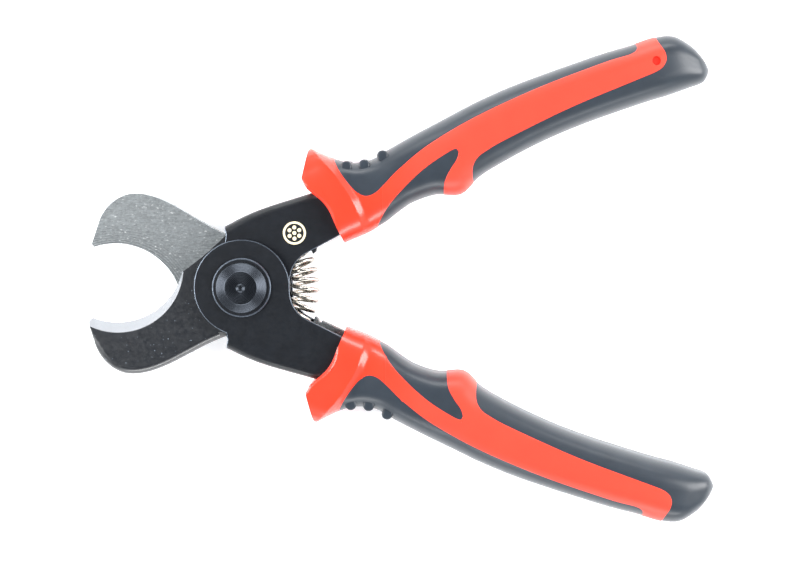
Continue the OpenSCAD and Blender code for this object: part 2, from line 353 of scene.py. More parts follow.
def tidy(obj, distance=0.01):
    """Merges corners that lie on each other and drops faces with no area."""
    shape(obj)
    bpy.ops.mesh.remove_doubles(threshold=distance * MM)
    bpy.ops.mesh.select_all(action="SELECT")
    bpy.ops.mesh.dissolve_degenerate(threshold=distance * MM)
    return done()


def soften(obj, width, angle=35, segments=2, test=None, material=-1, clamp=True):
    """Rounds the outward edges sharper than an angle in degrees, if they pass the test."""
    shape(obj, "EDGE")
    limit = math.radians(angle)
    found = choose(obj, "edges", lambda e: e.is_manifold and e.is_convex
                   and e.calc_face_angle() > limit and (test is None or test(e)))
    if found:
        bpy.ops.mesh.bevel(offset=width, segments=segments, affect="EDGES",
                           clamp_overlap=clamp, material=material)
    return done()


def smooth(obj, angle=30, weighted=True):
    """Smooth shading, with edges sharper than an angle in degrees kept."""
    only(obj)
    bpy.ops.object.shade_smooth_by_angle(angle=math.radians(angle))
    if weighted:
        use(obj, "WEIGHTED_NORMAL", keep_sharp=True, weight=60)
    return obj


def paint(obj, *materials):
    """Gives an object these materials, the first of them on all faces."""
    obj.data.materials.clear()
    for material in materials:
        obj.data.materials.append(material)


def mark_faces(obj, index, test):
    """Gives the faces whose (centre, normal) pass the test a material by its index."""
    for face in obj.data.polygons:
        if test(face.center / MM, face.normal):
            face.material_index = index


def seat_in(obj, arm, node=None, turn_over=True):
    """Lifts a piece to the mid-plane and lets it ride on its arm, in place of a node. A piece for
    the lower arm is turned over first, unless it's told not to."""
    only(obj)
    if arm == LOWER and turn_over:
        obj.rotation_euler.x = math.pi
    obj.location.z = MID_Z * MM
    bpy.context.view_layer.update()
    bpy.ops.object.transform_apply(location=True, rotation=True, scale=True)
    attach(obj, arm)
    if node:
        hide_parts(node)


# ---------- Materials ----------

# The Mix node's colour sockets, which have no names of their own
MIX_BASE, MIX_OTHER, MIX_RESULT = 6, 7, 2

# In millimetres: where the polished guard ends and the grained stripe starts along the grip, and
# how far from the edge's centre the dressed lines on the bright blade fade out
GUARD_END, STRIPE_START = 33, 44
DRESSED_FULL, DRESSED_NONE = 18.5, 24


def link(tree, source, socket):
    """Links an output, given as (node, output), to a socket."""
    node, output = source
    tree.links.new(node.outputs[output], socket)


def add_node(tree, kind, settings=None, **links):
    """One node with its settings, and links given as input=(node, output)."""
    node = tree.nodes.new(kind)
    for key, value in (settings or {}).items():
        if key in node.inputs:
            node.inputs[key].default_value = value
        else:
            setattr(node, key, value)
    for key, source in links.items():
        link(tree, source, node.inputs[key.replace("_", " ")])
    return node


def new_material(name, **shader_values):
    """A material with its shader's uniform values, as (material, tree, shader, coordinates)."""
    material = bpy.data.materials.new(name)
    material.use_nodes = True
    tree = material.node_tree
    shader = tree.nodes["Principled BSDF"]
    for key, value in shader_values.items():
        shader.inputs[key.replace("_", " ")].default_value = value
    place = add_node(tree, "ShaderNodeTexCoord")
    return material, tree, shader, (place, "Object")


def ramp(tree, source, *stops):
    """A colour ramp on a value, from (position, colour or grey) stops."""
    node = add_node(tree, "ShaderNodeValToRGB", None, Fac=source)
    elements = node.color_ramp.elements
    while len(elements) < len(stops):
        elements.new(0.5)
    for element, (position, value) in zip(elements, stops):
        element.position = position
        element.color = value if isinstance(value, tuple) else (value, value, value, 1)
    return node, "Color"


def shade_of(base, factor):
    return (base[0] * factor, base[1] * factor, base[2] * factor, 1)


def shades(base, *stops):
    """Ramp stops of one colour, from (position, factor)."""
    return [(at, shade_of(base, factor)) for at, factor in stops]


def tint(tree, shader, source, base, *stops):
    """Lets a value darken and lighten the shader's colour, from (position, factor) stops."""
    link(tree, ramp(tree, source, *shades(base, *stops)), shader.inputs["Base Color"])


def dull(tree, shader, source, *stops):
    """Lets a value set the shader's roughness, from (position, roughness) stops."""
    link(tree, ramp(tree, source, *stops), shader.inputs["Roughness"])


def bump(tree, shader, source, strength, depth_mm, chained=None):
    """Relief from a value, on top of the relief of the bump it's chained to."""
    node = add_node(tree, "ShaderNodeBump", {"Strength": strength, "Distance": depth_mm * MM},
                    Height=source)
    if chained:
        link(tree, (chained, "Normal"), node.inputs["Normal"])
    link(tree, (node, "Normal"), shader.inputs["Normal"])
    return node


def noise(tree, place, size_mm, detail=2.0, roughness=0.5, stretch=None, turn_deg=0):
    """Noise whose features are about size_mm across, and longer along one way if stretched."""
    if stretch:
        place = (add_node(tree, "ShaderNodeMapping", {
            "Scale": tuple(1 / s for s in stretch),
            "Rotation": (0, 0, math.radians(turn_deg)),
        }, Vector=place), "Vector")
    return add_node(tree, "ShaderNodeTexNoise", {
        "Scale": 1 / (size_mm * MM), "Detail": detail, "Roughness": roughness,
    }, Vector=place), "Fac"


def rings(tree, place, spacing_mm, distortion, detail, detail_scale=1.0):
    """Rings this far apart about the Z axis. The wave texture makes 20 radians for each unit."""
    return add_node(tree, "ShaderNodeTexWave", {
        "wave_type": "RINGS", "rings_direction": "Z", "Scale": math.tau / 20 / (spacing_mm * MM),
        "Distortion": distortion, "Detail": detail, "Detail Scale": detail_scale,
    }, Vector=place), "Fac"


def product(tree, first, second):
    """Two values multiplied."""
    node = add_node(tree, "ShaderNodeMath", {"operation": "MULTIPLY"})
    for socket, source in zip(node.inputs, (first, second)):
        link(tree, source, socket)
    return node, "Value"


def fade(tree, value, start_mm, end_mm, first, last):
    """A value that goes from first to last between two distances."""
    return add_node(tree, "ShaderNodeMapRange", {
        "From Min": start_mm * MM, "From Max": end_mm * MM, "To Min": first, "To Max": last,
    }, Value=value), "Result"


def laid_over(tree, base, other, factor):
    """A fixed colour laid over another, as strongly as the factor says."""
    node = add_node(tree, "ShaderNodeMix", {"data_type": "RGBA"}, Factor=factor)
    link(tree, base, node.inputs[MIX_BASE])
    node.inputs[MIX_OTHER].default_value = other
    return node, MIX_RESULT


def black_oxide_sheet(finish):
    """Black oxide on stamped low-carbon sheet: a thin oiled black conversion layer, satin, with
    the rolled sheet's faint mottling and a few fine handling scratches"""
    material, tree, shader, place = new_material("black_oxide_sheet", Metallic=0.0, IOR=1.5)
    tint(tree, shader, noise(tree, place, 2.5, 3), finish.oxide, (0.3, 0.8), (0.7, 1.25))
    haze = noise(tree, place, 0.6, 4, 0.7)
    dull(tree, shader, haze, (0.3, 0.3), (0.7, 0.42))
    scratch = noise(tree, place, 0.12, 1, 0.5, stretch=(30, 1, 1), turn_deg=38)
    first = bump(tree, shader, haze, 0.12, 0.02)
    bump(tree, shader, ramp(tree, scratch, (0.66, 0.0), (0.74, 1.0)), 0.1, 0.01, first)
    return material


def worn_steel_edge(finish):
    """Steel where the oxide has rubbed off an edge: dull bare metal. On the plates' stamped edges
    this lighter colour is also a painted highlight along the edge
    """
    material, tree, shader, place = new_material("worn_steel_edge", Metallic=1.0)
    rub = noise(tree, place, 0.5, 3, 0.6)
    tint(tree, shader, rub, finish.worn, (0.25, 0.45), (0.6, 1))
    dull(tree, shader, rub, (0.3, 0.5), (0.7, 0.32))
    return material


def ground_tool_steel(finish):
    """Ground tool steel: a flat face from a grinding wheel, with crossing fine scratches that
    break into a mottle, coarser lines round the edge's centre where the edge was dressed, and a
    few painted glints: near-white specks in the colour that stand in for highlights"""
    material, tree, shader, place = new_material("ground_tool_steel", Metallic=1.0)
    crossed = product(tree, noise(tree, place, 0.22, 2, 0.6, stretch=(9, 1, 1), turn_deg=35),
                      noise(tree, place, 0.25, 2, 0.6, stretch=(7, 1, 1), turn_deg=-40))
    mottled = product(tree, crossed, noise(tree, place, 0.7, 4, 0.7))
    tone = ramp(tree, mottled, *shades(finish.steel, (0.06, 0.55), (0.14, 0.95), (0.24, 1.35)))

    # The bright blade is turned over, so its edge's centre lies across the X axis
    centred = (add_node(tree, "ShaderNodeMapping", {
        "Location": (-EDGE_C[0] * MM, EDGE_C[1] * MM, 0),
    }, Vector=place), "Vector")
    flat = add_node(tree, "ShaderNodeVectorMath", {"operation": "MULTIPLY"}, Vector=centred)
    flat.inputs[1].default_value = (1, 1, 0)
    away = add_node(tree, "ShaderNodeVectorMath", {"operation": "LENGTH"}, Vector=(flat, "Vector"))
    near_edge = fade(tree, (away, "Value"), DRESSED_FULL, DRESSED_NONE, 1.0, 0.0)
    lines = ramp(tree, rings(tree, centred, 0.6, 2.6, 3.0, 0.8), (0.35, 0.7), (0.6, 0.0))
    dressed = product(tree, lines, near_edge)
    lined = laid_over(tree, tone, shade_of(finish.steel, 0.5), dressed)

    # Painted glints: near-white specks mixed into the colour, standing in for highlights on the
    # ground steel
    painted_glint_noise = noise(tree, place, 0.45, 2, 0.6, stretch=(2, 1, 1), turn_deg=25)
    painted_glint_mask = ramp(tree, painted_glint_noise, (0.62, 0.0), (0.72, 0.8))
    whole = laid_over(tree, lined, tuple(finish.painted_glint), painted_glint_mask)
    link(tree, whole, shader.inputs["Base Color"])
    dull(tree, shader, crossed, (0.1, 0.52), (0.4, 0.36))
    first = bump(tree, shader, crossed, 0.3, 0.03)
    bump(tree, shader, dressed, 0.25, 0.02, first)
    return material


def ground_bevel_steel(finish):
    """The same steel on the ground bevel: fine lines along the edge, and no mottle"""
    material, tree, shader, place = new_material(
        "ground_bevel_steel", Metallic=1.0, Base_Color=tuple(finish.bevel)
    )
    drag = noise(tree, place, 0.35, 3, 0.6, stretch=(1, 1, 6))
    dull(tree, shader, drag, (0.3, 0.34), (0.7, 0.5))
    bump(tree, shader, drag, 0.15, 0.02)
    return material


def black_oxide_tool_steel(finish):
    """Black oxide on ground tool steel: glossier than on the sheet, with specks of dust"""
    material, tree, shader, place = new_material("black_oxide_tool_steel", Metallic=0.0, IOR=1.9)
    mottle = noise(tree, place, 1.6, 4, 0.6)
    tone = ramp(tree, mottle, *shades(finish.oxide, (0.3, 0.85), (0.7, 1.3)))
    specks = ramp(tree, noise(tree, place, 0.5, 1, 0.3), (0.74, 0.0), (0.79, 0.7))
    link(tree, laid_over(tree, tone, tuple(finish.dust), specks), shader.inputs["Base Color"])
    dull(tree, shader, noise(tree, place, 0.9, 3, 0.6), (0.3, 0.28), (0.7, 0.38))
    return material


def turned_black_rivet(finish):
    """Turned and blackened rivet: fine rings from the lathe, which draw a highlight into fans"""
    material, tree, shader, place = new_material(
        "turned_black_rivet", Metallic=0.85, Anisotropic=0.65, Base_Color=tuple(finish.rivet)
    )
    tangent = add_node(tree, "ShaderNodeTangent", {"direction_type": "RADIAL", "axis": "Z"})
    link(tree, (tangent, "Tangent"), shader.inputs["Tangent"])
    grooves = rings(tree, place, 0.35, 0.6, 2.0)
    dull(tree, shader, grooves, (0.2, 0.24), (0.8, 0.38))
    bump(tree, shader, grooves, 0.2, 0.02)
    return material


def nickel_plated_wire(finish):
    """Nickel-plated music wire: bright, with faint drawing marks"""
    material, tree, shader, place = new_material(
        "nickel_plated_wire", Metallic=1.0, Base_Color=tuple(finish.nickel)
    )
    dull(tree, shader, noise(tree, place, 1.5, 2), (0.3, 0.24), (0.7, 0.34))
    return material


def moulded_red_abs(finish):
    """Moulded ABS: the long stripe has a fine spark-eroded grain, the guard is polished"""
    material, tree, shader, place = new_material("moulded_red_abs", IOR=1.53)
    tint(tree, shader, noise(tree, place, 6.0, 2), finish.red, (0.3, 0.95), (0.7, 1.04))
    along = (add_node(tree, "ShaderNodeSeparateXYZ", None, Vector=place), "X")
    gloss = fade(tree, along, GUARD_END, STRIPE_START, 0.22, 0.45)
    link(tree, gloss, shader.inputs["Roughness"])
    grain_depth = fade(tree, along, GUARD_END, STRIPE_START, 0.12, 1.0)
    grain = product(tree, noise(tree, place, 0.35, 2, 0.6), grain_depth)
    bump(tree, shader, grain, 0.5, 0.05)
    return material


def overmoulded_dark_tpe(finish):
    """Overmoulded TPE: soft rubber-like plastic, satin, with a very fine grain and a grey bloom"""
    material, tree, shader, place = new_material("overmoulded_dark_tpe", IOR=1.5, Sheen_Weight=0.06)
    tint(tree, shader, noise(tree, place, 4.0, 3), finish.rubber, (0.3, 0.92), (0.7, 1.08))
    grain = noise(tree, place, 0.3, 2, 0.6)
    dull(tree, shader, grain, (0.3, 0.3), (0.7, 0.42))
    bump(tree, shader, grain, 0.22, 0.03)
    return material


def screen_printed_ink(finish):
    """Screen print: thin opaque ink, slightly uneven"""
    material, tree, shader, place = new_material("screen_printed_ink", IOR=1.48, Roughness=0.6)
    tint(tree, shader, noise(tree, place, 0.2, 2), finish.print, (0.3, 0.85), (0.6, 1))
    return material


MAKERS = {
    "sheet": black_oxide_sheet,
    "worn": worn_steel_edge,
    "steel": ground_tool_steel,
    "bevel": ground_bevel_steel,
    "black_blade": black_oxide_tool_steel,
    "rivet": turned_black_rivet,
    "nickel": nickel_plated_wire,
    "red": moulded_red_abs,
    "rubber": overmoulded_dark_tpe,
    "print": screen_printed_ink,
}
CACHE = {}


def finishes():
    """The finishes by a short name, made once."""
    if not CACHE:
        finish = bpy.context.scene.cutter_finish
        CACHE.update({name: make(finish) for name, make in MAKERS.items()})
    return CACHE


# ---------- Outlines of the head ----------

FOLD_LINE = flowing([(-4.3, 15.2), (1.5, 18.1), (7.2, 20.2), (16, 22.8), (28, 26.4),
                     (45, 33.4), (62, 40.8), (80, 47.2), (92, 51)], 6)
TANG_INNER = [(24.6, 12.6), (33, 18.6), (45, 26), (58, 32.8), (70, 38.3), (82, 43.2), (92, 46.6)]


# Edge of each blade's tail on the spring's side: the bright blade's shows as a band
BAND_EDGE = [(25.2, 13.6), (25.2, 11.9), (19.6, 9.15), (19.3, 10)]
PLAIN_EDGE = [(22.6, 13.4)]


def plate_outline():
    """The stamped plate: tang, hollow beside the spring and the round pivot end."""
    hollow = arc((20, 1.2), 8, 117, 183.4, 10)
    disc = arc((0, 0), DISC_R, 2, -250, 84)
    return FOLD_LINE + TANG_INNER[::-1] + hollow + disc + [(-3.8, 13.2)]


def hollow_outline():
    """Everything between the plates inside the fold."""
    inner = aside(FOLD_LINE, SHEET_T)
    open_side = [(96, 50), (96, 42), (40, -2), (20, -14), (-14, -14)]
    return [(-14, 12.2), (-5.5, 13.2)] + inner + open_side


def leaning(points, degrees):
    return [turned(x, y, degrees) for x, y in points]


def blade_outline(lean, tail_edge):
    """The jaw, the pivot end and the tail in the channel. The jaw leans about the pivot."""
    jaw = [(-38.9, -9.7)] + arc(EDGE_C, EDGE_R - 0.8, 250.8, 348, 30)
    neck = flowing([(-15.2, 3.7), (-11.5, 6.5), (-8.8, 8.7), (-5.3, 12), (-3.9, 13.3)], 4)
    back = aside(FOLD_LINE[5:27], SHEET_T + 0.05)
    tail = [(37.6, 28.4), (38.6, 24.2), (27, 17.2)] + tail_edge
    horn = [turned(r, 0, a) for r, a in ((21.6, 27.8), (20.4, 24.8), (19.6, 24.2), (19.8, 31))]
    seat = [turned(SPRING_R + x, 1.35, SEAT_ANGLE) for x in (4.2, -4)]
    round_end = arc((0, 0), 11.6, 34, -100, 34)
    flank = flowing([(-5.2, -13.1), (-9, -14.9), (-13.5, -17.4), (-18.2, -20), (-22.8, -21.95),
                     (-27.3, -22.8), (-31, -22.2), (-34.3, -20), (-36.5, -17), (-37.7, -13.6),
                     (-38.9, -9.7)], 5)[:-1]
    return (leaning(jaw, lean) + leaning(neck, lean / 2) + back + tail + horn + seat + round_end
            + leaning(flank, lean))


# The bevel's circle, from the blade's back face to its front: how far it moves and shrinks
BEVEL_SLANT = (0.6, -2.6)
BEVEL_SHRINK = 0.3

# The black jaw's rounding starts this far outside the edge's circle, with this share of its
# width, and is full this much further out
ROUND_FROM = 0.7
ROUND_LEAST = 0.12
ROUND_OVER = 6


# ---------- Pieces ----------


def make_channel(head):
    """Two plates and the wall that joins them, folded from one sheet."""
    made = finishes()
    obj = block("channel", plate_outline(), BACK_PLATE[0], FRONT_PLATE[1])
    fold = {(round(x, 2), round(y, 2)) for x, y in FOLD_LINE}

    def on_fold(edge):
        places = [(round(v.co.x / MM, 2), round(v.co.y / MM, 2)) for v in edge.verts]
        return is_level(edge) and all(place in fold for place in places)

    def inside_fold(edge):
        """The fold's side of a slanting line between the fold and the open side."""
        return is_level(edge) and min(v.co.y - v.co.x * 0.4 for v in edge.verts) > 12 * MM

    shape(obj)
    choose(obj, "edges", on_fold)
    bpy.ops.mesh.bevel(offset=head.fold_round, segments=5, affect="EDGES", clamp_overlap=False)
    done()
    inside = block("inside", hollow_outline(), BACK_PLATE[1], FRONT_PLATE[0])
    shape(inside)
    choose(inside, "edges", lambda e: e.is_convex and inside_fold(e))
    bpy.ops.mesh.bevel(offset=head.fold_round - SHEET_T * MM, segments=2, affect="EDGES",
                       clamp_overlap=False)
    done()
    cut(obj, inside)
    cut(obj, bore(SHANK_R + 0.05))
    tidy(obj)
    paint(obj, made["sheet"], made["worn"])
    # The edge band gets the lighter worn steel: partly rubbed-off oxide, partly a painted highlight
    soften(obj, head.stamped_edge, angle=50, segments=2, material=1)
    return smooth(obj)


def make_blade(name, lean, tail_edge):
    """A blade with its true bevel: a slanting cone, so the bevel is widest at the belly."""
    obj = block(name, blade_outline(lean, tail_edge), RUN_GAP / 2, BLADE_T)
    height = BLADE_T - RUN_GAP / 2
    middle_z = RUN_GAP / 2 + height / 2
    centre = Vector((*EDGE_C, 0)) * MM
    cone = start("cone", bpy.ops.mesh.primitive_cylinder_add, vertices=160, radius=EDGE_R * MM,
                 depth=3 * height * MM, location=(centre.x, centre.y, middle_z * MM))
    shape(cone)

    # The cone is three blades high, so its ends lie two blades over the back face and one under
    for end, blades_up in ((1, 2), (-1, -1)):
        choose(cone, "verts", lambda v: (v.co.z - middle_z * MM) * end > 0)
        shift = Vector((*BEVEL_SLANT, 0)) * MM * blades_up
        bpy.ops.transform.translate(value=shift)
        grow = (EDGE_R - BEVEL_SHRINK * blades_up) / EDGE_R
        bpy.ops.transform.resize(value=(grow, grow, 1), center_override=centre + shift)
    done()
    cone.rotation_euler.z = math.radians(lean)
    cut(obj, cone)
    cut(obj, bore(SHANK_R + 0.04))
    return tidy(obj)


def round_jaw(obj, width):
    """Rounds the front edge of the jaw's outer outline, less and less towards the tip."""
    mesh = obj.data
    weights = mesh.attributes.new("bevel_weight_edge", "FLOAT", "EDGE").data
    for edge, weight in zip(mesh.edges, weights):
        ends = [mesh.vertices[i].co / MM for i in edge.vertices]
        middle = (ends[0] + ends[1]) / 2
        away = math.hypot(middle.x - EDGE_C[0], middle.y - EDGE_C[1]) - EDGE_R
        on_front = min(end.z for end in ends) > BLADE_T - 0.02
        on_jaw = middle.x < -4 and middle.y < -8
        if on_front and on_jaw and away > ROUND_FROM:
            weight.value = min(1, max(ROUND_LEAST, (away - ROUND_FROM) / ROUND_OVER))
    use(obj, "BEVEL", limit_method="WEIGHT", width=width, segments=5, use_clamp_overlap=False)


class CUTTER_OT_channels(bpy.types.Operator):
    """Model the two folded steel channels"""

    bl_idname = "cutter.channels"
    bl_label = "Channels"

    def execute(self, context):
        upper = make_channel(context.scene.cutter_head)
        lower = twin(upper, "lower_channel_sheet")
        upper.name = upper.data.name = "upper_channel_sheet"
        seat_in(upper, UPPER, "upper_channel")
        seat_in(lower, LOWER, "lower_channel")
        return {"FINISHED"}


class CUTTER_OT_blades(bpy.types.Operator):
    """Model the bright blade and the black blade"""

    bl_idname = "cutter.blades"
    bl_label = "Blades"

    def execute(self, context):
        made = finishes()
        head = context.scene.cutter_head
        bright = make_blade("silver_blade_steel", JAW_LEAN, BAND_EDGE)
        black = make_blade("black_blade_steel", -JAW_LEAN, PLAIN_EDGE)

        def ground(centre, normal):
            """Whether a face belongs to the cutting bevel."""
            away = math.hypot(centre.x - EDGE_C[0], centre.y - EDGE_C[1])
            return centre.x < -13 and away < EDGE_R + 4.5 and 0.15 < normal.z < 0.95

        # The bright blade's tail is black like the sheet, from beside the pivot on
        paint(bright, made["steel"], made["bevel"], made["sheet"])
        mark_faces(bright, 1, ground)
        mark_faces(bright, 2, lambda centre, normal: centre.x > 3)
        soften(bright, head.blade_edge, angle=60, segments=1)
        paint(black, made["black_blade"], made["bevel"])
        mark_faces(black, 1, ground)
        round_jaw(black, head.jaw_round)
        smooth(bright)
        smooth(black)
        seat_in(bright, LOWER, "silver_blade")
        seat_in(black, UPPER, "black_blade")
        return {"FINISHED"}


class CUTTER_OT_pivot(bpy.types.Operator):
    """Turn the rivet, its two washers and the closing collar"""

    bl_idname = "cutter.pivot"
    bl_label = "Pivot"

    def execute(self, context):
        made = finishes()
        top = MID_Z

        # Both the head and the collar lie on the washers' outer faces, this far from the mid-plane
        face, thick = 7.25, 0.75
        inner = SHANK_R + 0.04
        rivet = turn("rivet_turned", [
            (0, top - 0.55), (0.45, top - 0.5), (1.0, top - 0.2), (1.2, top - 0.02), (1.35, top),
            (3.9, top), (4.1, top - 0.06), (4.25, top - 0.2), (6.0, 7.95), (6.3, 7.82), (6.4, 7.65),
            (6.4, face), (SHANK_R, face), (SHANK_R, -top), (0, -top),
        ], 128)
        paint(rivet, made["rivet"])
        washers = []
        for name, low in (("front_washer_ring", face - thick), ("back_washer_ring", -face)):
            ring = turn(name, [
                (inner, low), (7.2, low), (7.4, low + 0.15), (7.4, low + 0.5), (7.25, low + 0.7),
                (7.05, low + thick), (inner, low + thick),
            ], 128, closed=True)
            paint(ring, made["sheet"], made["worn"])

            # The outer rim has lost its black
            mark_faces(ring, 1, lambda c, n: math.hypot(c.x, c.y) > 7.0 and n.z * low > 0.2)
            washers.append(ring)
        collar = turn("rivet_collar_turned", [
            (inner, -top), (5.6, -top), (5.8, -top + 0.1), (6.35, -7.95), (6.4, -7.8),
            (6.4, -face), (inner, -face),
        ], 128, closed=True)
        paint(collar, made["rivet"])
        names = ("front_washer", "back_washer", "rivet_collar", "pivot_rivet")
        for obj, node in zip((*washers, collar, rivet), names):
            smooth(obj)
            seat_in(obj, LOWER, node, turn_over=False)
        return {"FINISHED"}


class CUTTER_OT_spring(bpy.types.Operator):
    """Wind the spring between its two seats"""

    bl_idname = "cutter.spring"
    bl_label = "Spring"

    def execute(self, context):
        spring = context.scene.cutter_spring
        wire, coil = spring.wire / MM, (spring.outside - spring.wire) / 2 / MM
        half = SEAT_ANGLE - math.degrees((wire / 2 + 0.05) / SPRING_R)
        turn_steps = 24
        steps = turn_steps * spring.turns
        points = []
        for k in range(steps + 1):
            around = math.tau * k / turn_steps
            along = math.radians(half * (2 * k / steps - 1))
            reach = SPRING_R + coil * math.cos(around)
            points.append((reach * math.cos(along), reach * math.sin(along),
                           MID_Z + coil * math.sin(around)))
        curve = bpy.data.curves.new("spring_wire", "CURVE")
        curve.dimensions = "3D"
        curve.bevel_depth = spring.wire / 2
        curve.bevel_resolution = 3
        curve.use_fill_caps = True
        line = curve.splines.new("POLY")
        line.points.add(len(points) - 1)
        for corner, p in zip(line.points, points):
            corner.co = (p[0] * MM, p[1] * MM, p[2] * MM, 1)
        obj = bpy.data.objects.new("spring_wire", curve)
        context.scene.collection.objects.link(obj)
        only(obj)
        bpy.ops.object.convert(target="MESH")
        obj = bpy.context.object
        paint(obj, finishes()["nickel"])
        smooth(obj, 60, weighted=False)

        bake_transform(obj)
        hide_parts("spring")
        for arm in ("lower", "upper"):
            paint(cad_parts[f"{arm}_spring_seat"], finishes()["sheet"])
            paint(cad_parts[f"{arm}_tang_pins"], finishes()["worn"])
        return {"FINISHED"}


# ---------- Grips ----------

# Along the grip from its mouth: outer edge x, y, inner edge x, y, half thickness, and how far the
# middle of the ring bows towards the handle's end
GUARD_RINGS = [
    (12.6, 32.0, 22.5, 8.8, 8.8, 1.6), (15.0, 33.2, 24.9, 10.2, 9.05, 1.8),
    (17.0, 34.2, 27.6, 11.4, 9.3, 2.0), (17.9, 34.5, 30.4, 12.5, 9.4, 2.2),
]
VALLEY_RINGS = [
    (18.2, 34.4, 30.7, 12.6, 9.38, 2.2), (20.6, 33.2, 32.2, 13.3, 8.5, 1.9),
    (23.4, 31.9, 34.0, 14.3, 8.3, 1.4), (27.8, 30.8, 36.8, 16.0, 8.5, 0.7),
    (33.0, 31.5, 39.9, 18.4, 8.8, 0.2), (37.6, 34.2, 43.5, 20.6, 9.0, 0),
    (43.7, 37.5, 49.0, 22.3, 9.1, 0), (50.0, 40.7, 55.2, 22.3, 9.3, 0),
    (54.5, 43.0, 59.3, 26.0, 9.38, 0), (59.3, 45.4, 63.2, 28.6, 9.38, 0),
    (67.2, 48.8, 71.0, 32.8, 9.38, 0), (75.2, 51.7, 79.0, 36.5, 9.38, 0),
    (83.2, 54.4, 87.0, 39.6, 9.38, 0), (91.2, 57.0, 95.0, 42.3, 9.3, 0),
    (98.5, 59.0, 102.5, 44.7, 9.1, 0), (104.0, 60.7, 107.5, 46.1, 8.8, 0),
    (108.7, 61.0, 112.6, 47.8, 8.0, 0), (113.0, 58.6, 116.0, 49.0, 6.4, 0),
    (115.2, 56.4, 117.2, 50.6, 4.9, 0), (116.3, 55.0, 117.7, 51.9, 3.0, 0),
]
RING_STEPS = 4

# Edges of the pads on the sleeve, and the pads' zones, which run on outside the grip
THUMB_EDGE = [(22.6, 35), (23.6, 31.8), (24.7, 29.4), (26.3, 26.9), (28.1, 24.6), (29.9, 23.0),
              (31.8, 22.4), (34, 23.2), (36.5, 25.5), (40, 29), (47.5, 34.9), (59.3, 41.6),
              (75.2, 48.6), (91.2, 54.4), (99, 57), (98.6, 61)]
FINGER_EDGE = [(33.2, 11), (34.6, 15.5), (38.3, 21.2), (45.6, 28.4), (53.0, 33.3), (54.7, 33.2),
               (54.4, 31.2), (52.6, 28.4), (51.2, 25.2), (50.9, 20)]
HEEL_EDGE = [(103, 66), (104.4, 60), (106.3, 56.6), (106.4, 54.2), (104.6, 52.2), (99.1, 49.9),
             (83.2, 43.6), (67.2, 36.1), (61.6, 33.0), (59.2, 31.0), (58.2, 28.0), (58.9, 22)]
ZONES = {
    "thumb": flowing(THUMB_EDGE, 6) + [(96, 70), (20, 50)],
    "finger": flowing(FINGER_EDGE, 6) + [(45, 12)],
    "heel": flowing(HEEL_EDGE, 6) + [(90, 25), (130, 40), (130, 66)],
}
RIBS = [(26.8, 29.8), (31.3, 30.1), (35.9, 32.3)]
RIB_HALF = 7.2
RIB_RIM = 0.45

# The grip's mouth round the channel. A chamfer starts at the lip's height, slanting back to the
# height where its cutting tool ends.
MOUTH = [(17.7, 36)] + flowing([(15.4, 26), (17.5, 23.9), (20.5, 21.4), (22.3, 19), (23.6, 16),
                                (24.9, 13), (25.7, 11.2), (26.7, 8.4)], 3)
MOUTH_FRONT = [(5, 2), (5, 40)]
LIP_START, LIP_END = 8.35, 10
LIP_SLANT = (1.6, 0.75)

# The room for the tang inside the sleeve, and the blind hole near its end
TANG_PLAY = 0.1
TANG_END = [(92.4, 51.2), (92.4, 46.6)]
HOLE = (104.1, 54.6)
HOLE_R = 1.1
HOLE_DEPTH = 1.5


def grip_form(name, inset=0.0, short=0):
    """The grip's whole body, from rounded rings set along it and bridged."""
    rings = flowing(GUARD_RINGS, RING_STEPS) + flowing(VALLEY_RINGS, RING_STEPS)
    rings = rings[: len(rings) - short]

    # One ring of unit half-width, with wide round corners. Its middle bows to y = 1, more on the
    # inner side than on the outer one.
    template = start(name, bpy.ops.mesh.primitive_plane_add, size=2, rotation=(math.pi / 2, 0, 0))
    shape(template)
    bpy.ops.mesh.bevel(offset=0.78, segments=9, profile=0.56, affect="VERTICES",
                       clamp_overlap=False)
    bpy.ops.mesh.select_all(action="SELECT")
    bpy.ops.mesh.delete(type="ONLY_FACE")
    done()
    for vert in template.data.vertices:
        across = vert.co.x
        vert.co.y = (1 - across**2) * (1 - 0.35 * across)
    placed = []
    for ox, oy, ix, iy, half_h, bow in rings:
        across = Vector((ox - ix, oy - iy, 0)) / 2
        wide = across.length - inset
        side = across.normalized()

        # A ring with no bow at all would make the matrix singular
        ahead = Vector((side.y, -side.x, 0)) * max(bow, 0.01)
        ring = twin(template, name)
        ring.matrix_world = Matrix((
            (side.x * wide * MM, ahead.x * MM, 0, (ox + ix) / 2 * MM),
            (side.y * wide * MM, ahead.y * MM, 0, (oy + iy) / 2 * MM),
            (0, 0, (half_h - inset) * MM, 0),
            (0, 0, 0, 1),
        ))
        placed.append(ring)
    bpy.data.objects.remove(template)
    bpy.context.view_layer.update()
    only(placed[0])
    for ring in placed:
        ring.select_set(True)
    bpy.ops.object.transform_apply(location=True, rotation=True, scale=True)
    bpy.ops.object.join()
    obj = bpy.context.object
    shape(obj, "EDGE")
    bpy.ops.mesh.bridge_edge_loops()
    bpy.ops.mesh.select_all(action="DESELECT")
    bpy.ops.mesh.select_non_manifold()
    bpy.ops.mesh.edge_face_add()
    bpy.ops.mesh.select_all(action="SELECT")
    bpy.ops.mesh.normals_make_consistent(inside=False)
    obj = done()
    obj.name = obj.data.name = name
    return obj


def make_ribs(grip):
    """Three round bars across the outer side, with rounded rims at their flat ends."""
    bars = []
    for x, y in RIBS:
        bar = start("rib", bpy.ops.mesh.primitive_cylinder_add, vertices=40, radius=grip.rib_r,
                    depth=2 * RIB_HALF * MM, location=(x * MM, y * MM, 0))
        soften(bar, RIB_RIM * MM, angle=60, segments=4)
        bars.append(bar)
    return bars


